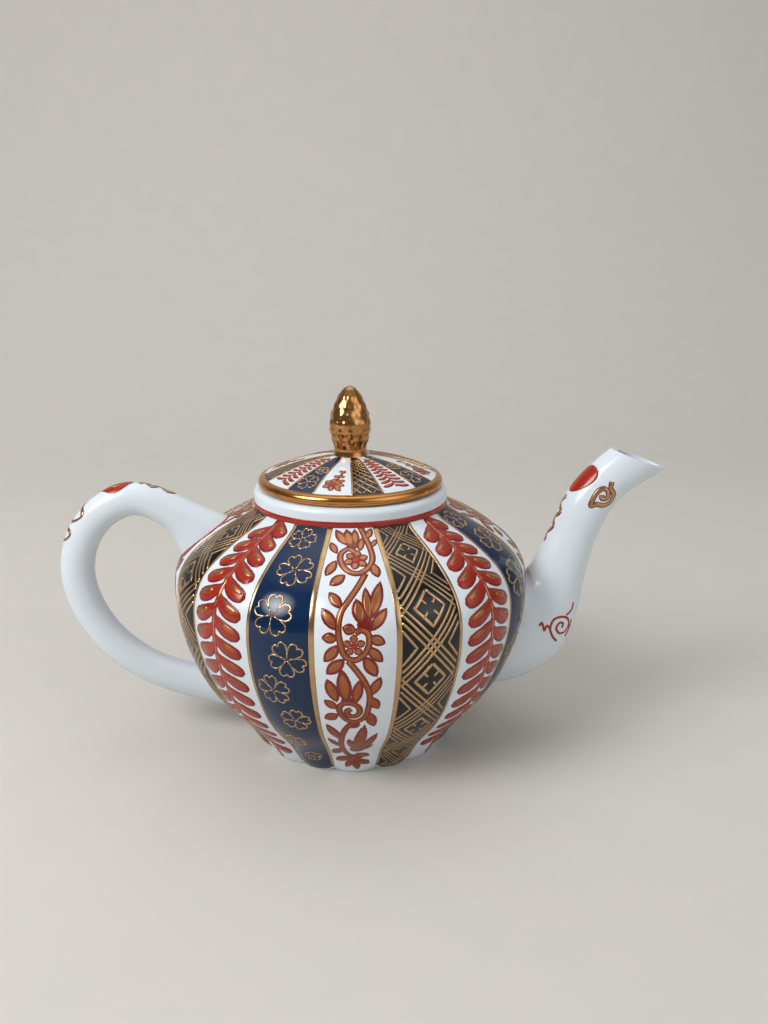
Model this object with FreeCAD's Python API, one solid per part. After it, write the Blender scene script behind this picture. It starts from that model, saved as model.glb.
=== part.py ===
import FreeCAD, Part
import math
import os

V = FreeCAD.Vector

# Driving dimensions in millimetres. The pot stands on z = 0 with its axis on Z, the spout on +X.
BODY_R = 45.0            # widest radius of the body, over the lobe crests
SHOULDER_Z = 63.6        # height where the shoulder meets the collar
WALL = 3.2               # wall of the body under a crest
FLOOR_Z = 4.4            # height of the floor inside
LOBES = 16               # lobes round the body, wide and narrow in turn
WIDE_DEG = 25.06         # angle of a wide lobe, the narrow one takes the rest of the pair
RELIEF = 0.85            # depth of the valleys between the lobes at the belly
FOOT_RELIEF = 1.25       # depth of the valleys at the foot

FOOT_DISH_R = 20.0       # radius of the dished underside inside the foot ring
FOOT_DISH = 1.4          # depth of that dish

COLLAR_R = 24.3          # outer radius of the collar
COLLAR_TOP = 67.4        # height of the seat that the lid rests on
COLLAR_ROUND = 1.5       # rounding of the collar's outer edge
BORE_R = 20.2            # radius of the mouth of the pot

LID_GAP = 0.4            # clearance of the lid's ring in the mouth, on the radius
LID_RING_WALL = 2.2      # wall of that ring
LID_RING_DEPTH = 6.0     # how far the ring reaches down into the mouth
RIM_R = 23.1             # outer radius of the lid's rolled rim
RIM_H = 2.6              # height of the rolled rim
LID_TOP_Z = 75.0         # height of the pad that carries the bud
LID_WALL = 2.6           # wall of the lid
VENT_R = 1.1             # radius of the steam vent, behind the bud

BUD_PAD_R = 4.5          # radius of the bud's foot
BUD_R = 5.2              # widest radius of the bud
BUD_TIP_Z = 92.2         # top of the bud
BUD_BOSSES = 6           # soft bosses in each row round the bud
BUD_RELIEF = 0.24        # how far a boss stands out, and the hollow beside it falls back

SPOUT_WALL = 2.3         # wall of the spout at its root
SPOUT_TIP_WALL = 1.5     # wall of the spout at its mouth
MOUTH_BACK = (67.3, 75.2)    # back edge of the spout's mouth, as x and z
MOUTH_TIP = (79.8, 70.7)     # pouring tip, as x and z
STRAINER_R = 1.5         # radius of the strainer's holes
STRAINER_PITCH = 4.6     # spacing of the strainer's holes
STRAINER_Z = 28.0        # height of the middle of the strainer

HANDLE_T = 8.5           # thickness of the handle in its own plane
HANDLE_W = 7.8           # width of the handle across that plane

# Profile of the body over the crests: height as a share of SHOULDER_Z, radius as a share of BODY_R,
# and the depth of the valleys as a share of RELIEF.
PROFILE = [
    (0.000, 0.538, FOOT_RELIEF / RELIEF),
    (0.030, 0.574, FOOT_RELIEF / RELIEF),
    (0.118, 0.655, 1.25),
    (0.236, 0.795, 1.1),
    (0.393, 0.918, 1.0),
    (0.535, 0.981, 1.0),
    (0.660, 1.000, 1.0),
    (0.747, 0.980, 0.95),
    (0.818, 0.917, 0.8),
    (0.880, 0.812, 0.6),
    (0.938, 0.672, 0.35),
    (0.980, 0.562, 0.12),
    (1.010, 0.520, 0.0),
]

# Spout: far edge (towards the body) and near edge of each cross-section, as x and z, and its width in y.
SPOUT = [
    (27.0, 40.8, 28.0, 11.6, 23.0),
    (36.5, 41.6, 36.0, 12.4, 22.4),
    (44.6, 42.4, 44.0, 13.7, 21.0),
    (46.0, 43.6, 52.8, 18.6, 18.6),
    (46.7, 44.6, 58.1, 26.6, 16.4),
    (47.7, 46.4, 60.0, 36.0, 14.4),
    (49.6, 50.6, 61.6, 45.6, 12.8),
    (52.4, 57.0, 63.9, 53.8, 11.8),
    (55.4, 64.2, 67.2, 60.5, 11.2),
    (59.8, 70.0, 70.2, 63.9, 10.8),
    (66.6, 76.2, 74.6, 66.9, 10.4),
    (76.0, 82.5, 82.2, 71.4, 10.0),
]

# Handle: centre of each cross-section as x and z, and its thickness as a share of HANDLE_T.
HANDLE = [
    (-30.0, 46.4, 2.45),
    (-35.6, 52.6, 1.95),
    (-40.4, 57.3, 1.38),
    (-44.8, 60.7, 1.08),
    (-49.6, 63.2, 1.00),
    (-54.6, 64.2, 1.00),
    (-60.9, 61.9, 1.00),
    (-66.2, 56.6, 1.00),
    (-69.3, 48.6, 1.00),
    (-69.1, 40.2, 1.00),
    (-66.1, 32.2, 0.99),
    (-60.9, 25.0, 0.99),
    (-53.2, 18.9, 1.00),
    (-44.4, 15.1, 1.04),
    (-34.6, 12.4, 1.12),
    (-24.0, 10.4, 1.25),
]

# Axis of the strainer and everything else that sits on the body follows its size.
KR = BODY_R / 45.0
KZ = SHOULDER_Z / 63.6


def lobed_section(z, crest, relief):
    """Closed wire of arcs, one to a lobe, with valleys between them."""
    pair = 720.0 / LOBES
    narrow = pair - WIDE_DEG
    edges = []
    for i in range(LOBES):
        mid = i * pair / 2
        half = (WIDE_DEG if i % 2 == 0 else narrow) / 2
        points = []
        for angle, radius in ((mid - half, crest - relief), (mid, crest), (mid + half, crest - relief)):
            a = math.radians(angle)
            points.append(V(radius * math.cos(a), radius * math.sin(a), z))
        edges.append(Part.Arc(*points).toShape())
    return Part.Wire(edges)


def oval(cx, cz, ux, uz, half, half_y):
    """Closed oval wire in the plane of Y and of the direction u, which lies in the XZ plane."""
    frame = FreeCAD.Matrix(
        ux * half, 0, -uz, cx,
        0, half_y, 0, 0,
        uz * half, 0, ux, cz,
        0, 0, 0, 1)
    ring = Part.Wire([Part.Circle(V(0, 0, 0), V(0, 0, 1), 1.0).toShape()])
    return Part.Wire(ring.transformGeometry(frame).Edges)


def turned(points):
    """Solid turned round Z from a closed outline of radius and height."""
    edges = []
    for i, item in enumerate(points):
        a = item[:2]
        b = points[(i + 1) % len(points)][:2]
        start = V(a[0], 0, a[1])
        end = V(b[0], 0, b[1])
        if len(item) == 4:
            edges.append(Part.Arc(start, V(item[2], 0, item[3]), end).toShape())
        else:
            edges.append(Part.makeLine(start, end))
    return Part.Face(Part.Wire(edges)).revolve(V(0, 0, 0), V(0, 0, 1), 360)


def turned_spline(curve, rest):
    """Solid turned round Z from a smooth curve and the straight lines that close it."""
    spline = Part.BSplineCurve()
    spline.interpolate([V(r, 0, z) for r, z in curve])
    corners = [curve[-1]] + rest + [curve[0]]
    edges = [spline.toShape()]
    for a, b in zip(corners, corners[1:]):
        edges.append(Part.makeLine(V(a[0], 0, a[1]), V(b[0], 0, b[1])))
    return Part.Face(Part.Wire(edges)).revolve(V(0, 0, 0), V(0, 0, 1), 360)


# Body: lobed outside with a round collar, round inside, dished underneath.
outer = Part.makeLoft(
    [lobed_section(z * SHOULDER_Z, r * BODY_R, d * RELIEF) for z, r, d in PROFILE], True, False)
collar_low = SHOULDER_Z - 1.4
collar = turned([
    (0, collar_low),
    (COLLAR_R, collar_low),
    (COLLAR_R, COLLAR_TOP - COLLAR_ROUND,
     COLLAR_R - COLLAR_ROUND * (1 - math.sqrt(0.5)), COLLAR_TOP - COLLAR_ROUND * (1 - math.sqrt(0.5))),
    (COLLAR_R - COLLAR_ROUND, COLLAR_TOP),
    (0, COLLAR_TOP),
])
solid_pot = outer.fuse(collar)

inside = []
for i in range(1, len(PROFILE) - 2):
    z0, r0 = PROFILE[i - 1][0] * SHOULDER_Z, PROFILE[i - 1][1] * BODY_R
    z1, r1 = PROFILE[i][0] * SHOULDER_Z, PROFILE[i][1] * BODY_R
    z2, r2 = PROFILE[i + 1][0] * SHOULDER_Z, PROFILE[i + 1][1] * BODY_R
    along = math.hypot(z2 - z0, r2 - r0)
    r_in = r1 - WALL * (z2 - z0) / along
    z_in = z1 + WALL * (r2 - r0) / along
    if z_in > FLOOR_Z + 2.0 and r_in > BORE_R + 0.5:
        inside.append((r_in, z_in))
floor_r = inside[0][0] - (inside[0][1] - FLOOR_Z) * 1.25
cavity = turned_spline([(floor_r, FLOOR_Z)] + inside, [(0, inside[-1][1]), (0, FLOOR_Z)])
mouth = Part.makeCylinder(BORE_R, COLLAR_TOP, V(0, 0, inside[-1][1] - 6.0))
dish = turned([
    (0, -1.0),
    (FOOT_DISH_R, -1.0),
    (FOOT_DISH_R, 0.0),
    (FOOT_DISH_R - FOOT_DISH, FOOT_DISH),
    (0, FOOT_DISH),
])
body = solid_pot.cut(cavity).cut(mouth).cut(dish)
for i in range(7):
    a = math.radians(60 * i)
    off = 0.0 if i == 6 else STRAINER_PITCH
    start = V(0.75 * BODY_R, off * math.cos(a), STRAINER_Z * KZ + off * math.sin(a))
    body = body.cut(Part.makeCylinder(STRAINER_R, 0.4 * BODY_R, start, V(1, 0, 0)))

# Spout: a hollow tube cast on its own and luted to the body over the strainer.
skin = []
bore = []
for i, (x1, z1, x2, z2, width) in enumerate(SPOUT):
    share = i / (len(SPOUT) - 1)
    wall = SPOUT_WALL + (SPOUT_TIP_WALL - SPOUT_WALL) * share
    cx, cz = (x1 + x2) / 2 * KR, (z1 + z2) / 2 * KZ
    dx, dz = (x2 - x1) * KR, (z2 - z1) * KZ
    span = math.hypot(dx, dz)
    skin.append(oval(cx, cz, dx / span, dz / span, span / 2, width * KR / 2))
    past = -2.0 if i == 0 else 2.0 if i == len(SPOUT) - 1 else 0.0
    bx, bz = cx - past * dz / span, cz + past * dx / span
    bore.append(oval(bx, bz, dx / span, dz / span, span / 2 - wall, width * KR / 2 - wall))
tube = Part.makeLoft(skin, True, False).cut(Part.makeLoft(bore, True, False))
mx, mz = MOUTH_BACK[0] * KR, MOUTH_BACK[1] * KZ
tx, tz = MOUTH_TIP[0] * KR, MOUTH_TIP[1] * KZ
slope = math.degrees(math.atan2(tz - mz, tx - mx))
above = Part.makeBox(80.0 * KR, 80.0 * KR, 60.0 * KZ, V(-30.0 * KR, -40.0 * KR, 0))
above.rotate(V(0, 0, 0), V(0, 1, 0), -slope)
above.translate(V(mx, 0, mz))
spout = tube.cut(solid_pot).cut(above)

# Handle: an ear-shaped loop luted to the shoulder and low on the body, flared at its upper root.
rings = []
for i, (x, z, thick) in enumerate(HANDLE):
    a = HANDLE[max(i - 1, 0)]
    b = HANDLE[min(i + 1, len(HANDLE) - 1)]
    dx, dz = (b[0] - a[0]) * KR, (b[1] - a[1]) * KZ
    run = math.hypot(dx, dz)
    half_y = HANDLE_W / 2 * (1 + (thick - 1) * 0.45)
    rings.append(oval(x * KR, z * KZ, dz / run, -dx / run, thick * HANDLE_T / 2, half_y))
handle = Part.makeLoft(rings, True, False).cut(solid_pot)

# Lid: a low cone with a rolled rim, hollow underneath, with a ring that keeps it in the mouth.
ring_r = BORE_R - LID_GAP
bead = RIM_H / 2
rim_in = RIM_R - bead
top_r = rim_in - 0.4
under_r = ring_r - LID_RING_WALL
cap_z = LID_TOP_Z - LID_WALL
crown_mid = ((top_r + BUD_PAD_R) / 2, (COLLAR_TOP + RIM_H + LID_TOP_Z) / 2 + 0.7)
under_low = COLLAR_TOP + 0.6
lid = turned([
    (0, cap_z),
    (BUD_PAD_R, cap_z, (under_r + BUD_PAD_R) / 2, (cap_z + under_low) / 2 + 0.6),
    (under_r, under_low),
    (under_r, COLLAR_TOP - LID_RING_DEPTH),
    (ring_r, COLLAR_TOP - LID_RING_DEPTH),
    (ring_r, COLLAR_TOP),
    (rim_in, COLLAR_TOP, RIM_R, COLLAR_TOP + bead),
    (rim_in, COLLAR_TOP + RIM_H),
    (top_r, COLLAR_TOP + RIM_H + 0.1, crown_mid[0], crown_mid[1]),
    (BUD_PAD_R, LID_TOP_Z),
    (0, LID_TOP_Z),
])
vent_y = (BUD_PAD_R + top_r) / 2
lid = lid.cut(Part.makeCylinder(VENT_R, 3 * LID_WALL + 4, V(0, vent_y, cap_z - LID_WALL - 2)))

# Bud: a pointed knob with rows of soft bosses, each row set between those below it, luted to the lid's pad.
bud_h = BUD_TIP_Z - LID_TOP_Z


def bud_section(share, radius, swing):
    """Closed wavy wire at a share of the bud's height; swing raises every other boss and lowers the rest."""
    points = []
    for k in range(2 * BUD_BOSSES):
        a = math.pi * k / BUD_BOSSES
        r = radius + swing * (1 if k % 2 == 0 else -1)
        points.append(V(r * math.cos(a), r * math.sin(a), LID_TOP_Z + share * bud_h))
    ring = Part.BSplineCurve()
    ring.interpolate(points, PeriodicFlag=True)
    return Part.Wire([ring.toShape()])


bud = Part.makeLoft([
    bud_section(0.00, BUD_PAD_R - 0.1, 0.0),
    bud_section(0.07, BUD_R * 0.85, 0.0),
    bud_section(0.20, BUD_R * 0.93, BUD_RELIEF),
    bud_section(0.36, BUD_R * 0.96, -BUD_RELIEF),
    bud_section(0.52, BUD_R * 0.92, BUD_RELIEF),
    bud_section(0.68, BUD_R * 0.79, -BUD_RELIEF * 0.9),
    bud_section(0.83, BUD_R * 0.57, BUD_RELIEF * 0.6),
    bud_section(0.94, BUD_R * 0.34, 0.0),
    bud_section(1.00, BUD_R * 0.12, 0.0),
], True, False)

os.makedirs("parts", exist_ok=True)
for name, shape in (("body", body), ("spout", spout), ("handle", handle), ("lid", lid), ("finial", bud)):
    if len(shape.Solids) == 1:
        shape = shape.Solids[0]
    shape.exportStep("parts/" + name + ".step")
    print(name, len(shape.Solids), round(shape.Volume, 1), shape.isValid(), shape.BoundBox)
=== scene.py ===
import math

import bmesh
import bpy
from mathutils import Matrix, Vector
from mathutils.bvhtree import BVHTree


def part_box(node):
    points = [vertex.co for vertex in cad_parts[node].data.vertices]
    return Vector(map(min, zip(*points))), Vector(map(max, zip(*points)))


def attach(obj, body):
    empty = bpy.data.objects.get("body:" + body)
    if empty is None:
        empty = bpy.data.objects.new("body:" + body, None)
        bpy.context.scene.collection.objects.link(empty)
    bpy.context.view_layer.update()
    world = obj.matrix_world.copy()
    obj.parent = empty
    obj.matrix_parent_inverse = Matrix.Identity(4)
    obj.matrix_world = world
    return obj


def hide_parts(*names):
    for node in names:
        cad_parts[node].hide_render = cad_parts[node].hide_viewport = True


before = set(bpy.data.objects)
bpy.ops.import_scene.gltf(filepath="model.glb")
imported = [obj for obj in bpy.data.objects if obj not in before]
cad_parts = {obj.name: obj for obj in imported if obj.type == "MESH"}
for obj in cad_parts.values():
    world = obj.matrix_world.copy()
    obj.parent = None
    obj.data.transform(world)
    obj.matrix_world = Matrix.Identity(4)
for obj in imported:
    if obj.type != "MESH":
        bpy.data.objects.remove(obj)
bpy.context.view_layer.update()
MM = 0.001

# Panels go round the pot in degrees from the front, -Y, towards the spout, +X; the four repeat four times.
WHITE_HALF = 12.53
DARK_HALF = 9.97
FLORAL_AT = 0.0
LATTICE_AT = 22.5
FERN_AT = 45.0
BLOSSOM_AT = -22.5
REPEATS = 4
LID_TURN = -12.5

# Edges of the panels, and the widths in millimetres of the gilt lines along them.
PANEL_EDGES = (WHITE_HALF, -WHITE_HALF, FERN_AT - WHITE_HALF, FERN_AT + WHITE_HALF)
EDGE_LINES = (1.5, 1.5, 0.9, 0.9)

# Enamel and gilding stand on the glaze, thicker than life so that they catch the light. Millimetres.
ENAMEL = 0.06
GILDING = 0.09
SUNK = -0.03
# Heights of paint that lies over other paint, of the fine net of the lattice, and of the two red lines.
EYE_HIGH = GILDING * 1.3
FERN_HIGH = ENAMEL * 1.5
DAB_HIGH = GILDING * 1.4
OVER_PETAL = GILDING * 1.6
NET_HIGH = GILDING * 0.6
NECK_HIGH = GILDING * 1.4
ROOT_HIGH = ENAMEL * 2

# Where the painted grounds end: the collar, the white foot and the ring on the lid. Millimetres.
COLLAR_R = 24.35
WHITE_FOOT = 0.7
LID_IN = 5.2
LID_OUT = 21.4

# Colours and gloss of the finishes.
GLAZE_WHITE = "#DCE4EB"
GLAZE_POOLED = "#D2DCE5"
COBALT = "#002245"
LATTICE_GROUND = "#04050C"
GILT = "#CFB189"
GILT_WORN = "#AB8458"
RIM_GILT = "#C4884A"
BUD_GILT = "#CB9A63"
BUD_WORN = "#AD7442"
GOLDEN_WASH = "#C58E62"
GOLDEN_THIN = "#A4623C"
# Red tones of the gilt wash low on the pot: partly thinner gilding, partly a painted red reflection from
# below.
REFLECTED_RED_WASH = "#A85230"
REFLECTED_RED_THIN = "#86381C"
RUST = "#661408"
RUST_THIN = "#86220F"
IRON_RED = "#8E1B10"
IRON_RED_THIN = "#A82C18"
GLOSS = 0.1
RIM_GLOSS = 0.11
BUD_GLOSS = 0.1
LINE_GLOSS = 0.22
GLAZE_IOR = 1.45
ENAMEL_IOR = 1.5

# The gilt wash is painted redder and darker low on the pot, partly as thinner gilding and partly as a painted
# red reflection from below, and turns golden between these heights, in metres. The lid's grounds lie where
# the upward part of its normal is more than FACES_UP.
RED_REFLECTION_LOW = 0.012
RED_REFLECTION_HIGH = 0.058
FACES_UP = 0.1

# Patterns, in repeats to the metre: glaze pools every 20 mm and waves every 9 mm, gilding wears every 2.4 mm
# and enamel thins every 1.9 mm. Brush streaks, every 1.1 mm, are coarser than life so that they show.
POOLS = 50.0
WAVES = 110.0
WEAR = 420.0
THINNING = 520.0
STREAKS = 900.0

# Kinds of node that are used often.
MATH = "ShaderNodeMath"
VECTOR = "ShaderNodeVectorMath"
NOISE = "ShaderNodeTexNoise"
COORDINATES = "ShaderNodeTexCoord"
SPLIT = "ShaderNodeSeparateXYZ"
RANGE = "ShaderNodeMapRange"


def linear(hex_colour):
    """Linear RGBA of an sRGB hex colour."""
    channels = [int(hex_colour[i:i + 2], 16) / 255 for i in (1, 3, 5)]
    return [c / 12.92 if c <= 0.04045 else ((c + 0.055) / 1.055) ** 2.4 for c in channels] + [1.0]


def add(tree, kind, settings=None, **links):
    """Adds a node with its properties; links set its inputs, i0 by number, or join them to other nodes."""
    node = tree.nodes.new(kind)
    for key, value in (settings or {}).items():
        setattr(node, key, value)
    for key, value in links.items():
        socket = node.inputs[int(key[1:])] if key[1:].isdigit() else node.inputs[key.replace("_", " ")]
        if isinstance(value, bpy.types.Node):
            value = value.outputs[0]
        if isinstance(value, bpy.types.NodeSocket):
            tree.links.new(value, socket)
        else:
            socket.default_value = value
    return node


def calc(tree, operation, *values, kind=MATH):
    """Adds a node that works something out from numbers or other nodes."""
    return add(tree, kind, {"operation": operation}, **{"i%d" % k: value for k, value in enumerate(values)})


def mix(tree, share, *colours):
    """Mixes two colours, each in hex or from another node."""
    first, second = [linear(colour) if isinstance(colour, str) else colour for colour in colours]
    return add(tree, "ShaderNodeMix", {"data_type": "RGBA"}, i0=share, i6=first, i7=second).outputs[2]


def coat(made, tree, **settings):
    """Gives a material its one shader."""
    add(tree, "ShaderNodeOutputMaterial", Surface=add(tree, "ShaderNodeBsdfPrincipled", **settings))
    return made


def put(name, data):
    """Adds an object to the scene."""
    made = bpy.data.objects.new(name, data)
    bpy.context.scene.collection.objects.link(made)
    return made


def new_material(name):
    """Material with no nodes yet, and its tree."""
    made = bpy.data.materials.new(name)
    made.use_nodes = True
    made.node_tree.nodes.clear()
    return made, made.node_tree


def white_glaze(tree, where):
    """Cool white body seen through a clear glaze, which pools a little bluer about every 20 mm."""
    pool = add(tree, NOISE, Vector=where, Scale=POOLS, Detail=2.0)
    return mix(tree, pool, GLAZE_WHITE, GLAZE_POOLED)


def glaze_ripple(tree, where):
    """Fired glaze is never quite flat: one low wave in about 9 mm, which wavers the reflections."""
    wave = add(tree, NOISE, Vector=where, Scale=WAVES, Detail=1.0)
    return add(tree, "ShaderNodeBump", Strength=0.05, Distance=0.0004, Height=wave)


def panel_grounds(tree, where, white, turn, shown):
    """Cobalt and near-black grounds on the dark panels, where shown is 1, and white elsewhere."""
    place = add(tree, SPLIT, Vector=where)
    front = calc(tree, "MULTIPLY", place.outputs[1], -1.0)
    angle = calc(tree, "ARCTAN2", place.outputs[0], front)
    degrees = calc(tree, "DEGREES", angle)
    turned = calc(tree, "SUBTRACT", degrees, turn)
    pair = calc(tree, "FLOORED_MODULO", turned, FERN_AT)
    dark = calc(tree, "COMPARE", pair, LATTICE_AT, DARK_HALF)
    four = calc(tree, "FLOORED_MODULO", turned, 2 * FERN_AT)
    latticed = calc(tree, "LESS_THAN", four, FERN_AT)
    ground = mix(tree, latticed, COBALT, LATTICE_GROUND)
    painted = calc(tree, "MULTIPLY", dark, shown)
    return mix(tree, painted, white, ground)


def plain_porcelain():
    """Slip-cast porcelain, glazed: cool white and very glossy, with sharp window reflections."""
    made, tree = new_material("glazed_porcelain_white")
    where = add(tree, COORDINATES).outputs["Object"]
    return coat(made, tree, Base_Color=white_glaze(tree, where), Roughness=GLOSS, IOR=GLAZE_IOR,
                Normal=glaze_ripple(tree, where))


def body_porcelain():
    """The same porcelain with underglaze cobalt and near-black grounds on the outside of the dark panels."""
    made, tree = new_material("glazed_porcelain_body")
    point = add(tree, COORDINATES)
    where = point.outputs["Object"]
    flat = calc(tree, "MULTIPLY", where, (1.0, 1.0, 0.0), kind=VECTOR)
    facing = calc(tree, "DOT_PRODUCT", flat, point.outputs["Normal"], kind=VECTOR)
    outside = calc(tree, "GREATER_THAN", facing.outputs["Value"], 0.0)
    radius = calc(tree, "LENGTH", flat, kind=VECTOR).outputs["Value"]
    below_collar = calc(tree, "GREATER_THAN", radius, COLLAR_R * MM)
    height = add(tree, SPLIT, Vector=where).outputs[2]
    above_foot = calc(tree, "GREATER_THAN", height, WHITE_FOOT * MM)
    within = calc(tree, "MULTIPLY", below_collar, above_foot)
    shown = calc(tree, "MULTIPLY", outside, within)
    colour = panel_grounds(tree, where, white_glaze(tree, where), 0.0, shown)
    return coat(made, tree, Base_Color=colour, Roughness=GLOSS, IOR=GLAZE_IOR,
                Normal=glaze_ripple(tree, where))


def lid_porcelain():
    """The lid's porcelain: dark grounds on top and a rolled rim in burnished gold, a warm mirror."""
    made, tree = new_material("glazed_porcelain_lid")
    point = add(tree, COORDINATES)
    where = point.outputs["Object"]
    flat = calc(tree, "MULTIPLY", where, (1.0, 1.0, 0.0), kind=VECTOR)
    radius = calc(tree, "LENGTH", flat, kind=VECTOR).outputs["Value"]
    rim = calc(tree, "GREATER_THAN", radius, LID_OUT * MM)
    up = add(tree, SPLIT, Vector=point.outputs["Normal"]).outputs[2]
    shown = calc(tree, "GREATER_THAN", up, FACES_UP)
    grounds = panel_grounds(tree, where, white_glaze(tree, where), LID_TURN, shown)
    colour = mix(tree, rim, grounds, RIM_GILT)
    rough = add(tree, RANGE, Value=rim, To_Min=GLOSS, To_Max=RIM_GLOSS)
    return coat(made, tree, Base_Color=colour, Metallic=rim, Roughness=rough, IOR=GLAZE_IOR,
                Normal=glaze_ripple(tree, where))


def gilding(name, bright, worn, roughness):
    """Gold fired over the glaze and burnished: a warm mirror, with brush streaks and thin, redder places."""
    made, tree = new_material(name)
    where = add(tree, COORDINATES).outputs["Object"]
    wear = add(tree, NOISE, Vector=where, Scale=WEAR, Detail=3.0)
    tone = mix(tree, wear, bright, worn)
    streak = add(tree, NOISE, Vector=where, Scale=STREAKS, Detail=2.0)
    bump = add(tree, "ShaderNodeBump", Strength=0.08, Distance=0.0001, Height=streak)
    return coat(made, tree, Base_Color=tone, Metallic=1.0, Roughness=roughness, Normal=bump)


def gilt_wash():
    """Thin gilding inside red outlines: golden high up, redder and darker below, as thinner gilt and a
    painted red reflection.
    """
    made, tree = new_material("gilt_wash_on_red")
    where = add(tree, COORDINATES).outputs["Object"]
    height = add(tree, SPLIT, Vector=where).outputs[2]
    out_of_red_reflection = add(tree, RANGE, Value=height, From_Min=RED_REFLECTION_LOW, From_Max=RED_REFLECTION_HIGH)
    wear = add(tree, NOISE, Vector=where, Scale=WEAR, Detail=3.0)
    golden = mix(tree, wear, GOLDEN_WASH, GOLDEN_THIN)
    reflected_red = mix(tree, wear, REFLECTED_RED_WASH, REFLECTED_RED_THIN)
    # Lower down, the wash is mixed towards red: partly thinner gilding, partly a painted red reflection from
    # below.
    tone = mix(tree, out_of_red_reflection, reflected_red, golden)
    return coat(made, tree, Base_Color=tone, Metallic=0.85, Roughness=0.28)


def enamel(name, deep, thin):
    """Overglaze enamel laid by brush: glossy, deep where it is thick and lighter where it is thin."""
    made, tree = new_material(name)
    where = add(tree, COORDINATES).outputs["Object"]
    wash = add(tree, NOISE, Vector=where, Scale=THINNING, Detail=2.0)
    tone = mix(tree, wash, deep, thin)
    return coat(made, tree, Base_Color=tone, Roughness=0.16, IOR=ENAMEL_IOR)


PLAIN = plain_porcelain()
FINISHES = {
    "rust": enamel("rust_red_outline_enamel", RUST, RUST_THIN),
    "red": enamel("iron_red_enamel", IRON_RED, IRON_RED_THIN),
    "gold": gilding("burnished_gilding", GILT, GILT_WORN, LINE_GLOSS),
    "copper": gilt_wash(),
}


# Surfaces that the painter works on. Rays aim at FOCUS in the body and start FAR away. Metres.
FOCUS = Vector((0, 0, 36 * MM))
FAR = 0.3
# How far to look for the wall of a luted root, and for the glaze past an edge, and the steepest slope that a
# stroke is narrowed for.
ROOT_REACH = 20 * MM
EDGE_REACH = 5 * MM
STEEPEST = -0.2


def tree_of(node):
    """The faces of a CAD node, for rays to meet."""
    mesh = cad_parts[node].data
    return BVHTree.FromPolygons([v.co for v in mesh.vertices], [p.vertices for p in mesh.polygons])


BODY_TREE = tree_of("body")
LID_TREE = tree_of("lid")
SPOUT_TREE = tree_of("spout")
HANDLE_TREE = tree_of("handle")


def body_from(degrees, elevation):
    """Point and normal of the body's outside, looking at its middle from a direction."""
    a, e = math.radians(degrees), math.radians(elevation)
    out = Vector((math.cos(e) * math.sin(a), -math.cos(e) * math.cos(a), math.sin(e)))
    return BODY_TREE.ray_cast(FOCUS + out * FAR, -out)[:2]


def evenly(low, high, parts):
    """Numbers in even steps from low to high."""
    return [low + (high - low) * k / parts for k in range(parts + 1)]


def crest_line(low=-55.6, high=49.6, steps=200):
    """Rows of run, elevation and radius up the front lobe's crest, from the foot to low on the collar."""
    rows, last = [], None
    for elevation in evenly(low, high, steps):
        point = body_from(0.0, elevation)[0]
        run = rows[-1][0] + (point - last).length / MM if rows else 0.0
        rows.append((run, elevation, math.hypot(point.x, point.y) / MM))
        last = point
    return rows


# The crest's length, the width of the red line at its top, and where the panels end below it. Millimetres.
CREST = crest_line()
LENGTH = CREST[-1][0]
NECK_LINE = 1.5
PANEL_TOP = LENGTH - NECK_LINE


def crest_at(height):
    """Elevation and radius at a height in millimetres up the crest line."""
    height = min(max(height, 0.0), LENGTH - 1e-6)
    low, high = 0, len(CREST) - 1
    while high - low > 1:
        middle = (low + high) // 2
        low, high = (low, middle) if CREST[middle][0] > height else (middle, high)
    below, above = CREST[low], CREST[high]
    share = (height - below[0]) / (above[0] - below[0])
    return [a + (b - a) * share for a, b in zip(below[1:], above[1:])]


class BodySkin:
    """Body glaze: x is degrees round from the front, y is millimetres up from the foot."""

    def per_mm(self, x, y):
        """Degrees round to a millimetre across."""
        return math.degrees(1.0 / crest_at(y)[1])

    def at(self, x, y, lift):
        """Point some millimetres off the glaze."""
        point, normal = body_from(x, crest_at(y)[0])
        return point + normal * lift * MM


class LidSkin:
    """Lid glaze: x is degrees round from the front, y is millimetres out from the axis."""

    def per_mm(self, x, y):
        return math.degrees(1.0 / max(y, 1.0))

    def at(self, x, y, lift):
        a = math.radians(x)
        above = Vector((y * MM * math.sin(a), -y * MM * math.cos(a), FAR))
        point, normal = LID_TREE.ray_cast(above, Vector((0, 0, -1)))[:2]
        return point + normal * lift * MM


class CastSkin:
    """Glaze met when looking along a direction: x and y are millimetres across and up that view."""

    def __init__(self, tree, along, across, up):
        self.tree = tree
        self.along, self.across, self.up = Vector(along), Vector(across), Vector(up)

    def meet(self, x, y):
        """Point and normal met by the view, or the nearest ones past the edge."""
        spot = (self.across * x + self.up * y) * MM
        found = self.tree.ray_cast(spot - self.along * FAR, self.along)[:2]
        if found[0] is None:
            return self.tree.find_nearest(spot - self.along * EDGE_REACH)[:2]
        return found

    def per_mm(self, x, y):
        """Less than 1 where the glaze turns away sideways, so that a stroke keeps its width there."""
        normal = self.meet(x, y)[1]
        lean = normal.dot(self.across) / min(normal.dot(self.along), STEEPEST)
        return 1.0 / math.hypot(1.0, lean)

    def at(self, x, y, lift):
        point, normal = self.meet(x, y)
        return point + normal * lift * MM


def shift(skin, place, across, up):
    """Place that lies some millimetres across and up from another."""
    return place[0] + across * skin.per_mm(*place), place[1] + up


def away(skin, place, distance, angle):
    """Place that lies some millimetres from another, in a direction."""
    return shift(skin, place, distance * math.cos(angle), distance * math.sin(angle))


def covered(point, tree):
    """True inside a piece that is luted to the body: it is met on both sides of the point."""
    return all(tree.ray_cast(point, Vector((0, side, 0)), ROOT_REACH)[0] is not None for side in (-1, 1))


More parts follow.
